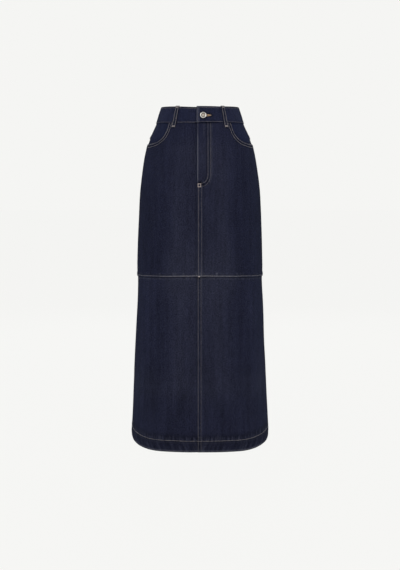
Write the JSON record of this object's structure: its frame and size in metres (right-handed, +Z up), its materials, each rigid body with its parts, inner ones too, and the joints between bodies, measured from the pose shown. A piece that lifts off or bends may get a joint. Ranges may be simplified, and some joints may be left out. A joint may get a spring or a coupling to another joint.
{
  "type": "denim skirt",
  "caption": "Long two-tier denim skirt with a buttoned waistband, fly front, scooped pocket mouths, belt loops and a turned-up hem, filled out as worn.",
  "frame": {"origin": "centre of the waist, at half the height of the waistband, where the wearer's waist holds the skirt", "axes": "+Z up along the skirt towards the waist, -Y out of the front, +X to the wearer's left"},
  "size_m": [0.3774, 0.3451, 0.9035],
  "materials": {
    "denim_panel": "raw indigo twill denim, matte, with faint vertical streaks",
    "denim_band": "raw indigo twill denim, matte",
    "denim_facing": "raw indigo twill denim, matte",
    "denim_loop": "raw indigo twill denim, matte, folded strip",
    "topstitch_thread": "dull tan topstitching thread",
    "button_metal": "antique nickel, satin, with a darker dished centre"
  },
  "bodies": {
    "root": {"waistband": "denim_band", "front_upper_left": "denim_panel", "front_upper_right": "denim_panel", "front_lower_left": "denim_panel", "front_lower_right": "denim_panel", "back_yoke_left": "denim_panel", "back_yoke_right": "denim_panel", "back_upper_left": "denim_panel", "back_upper_right": "denim_panel", "back_lower_left": "denim_panel", "back_lower_right": "denim_panel", "pocket_facing_left": "denim_facing", "pocket_facing_right": "denim_facing", "belt_loop_front_left": "denim_loop", "belt_loop_front_right": "denim_loop", "belt_loop_back_left": "denim_loop", "belt_loop_back_right": "denim_loop", "belt_loop_back_centre": "denim_loop", "button": "button_metal"}
  },
  "joints": []
}
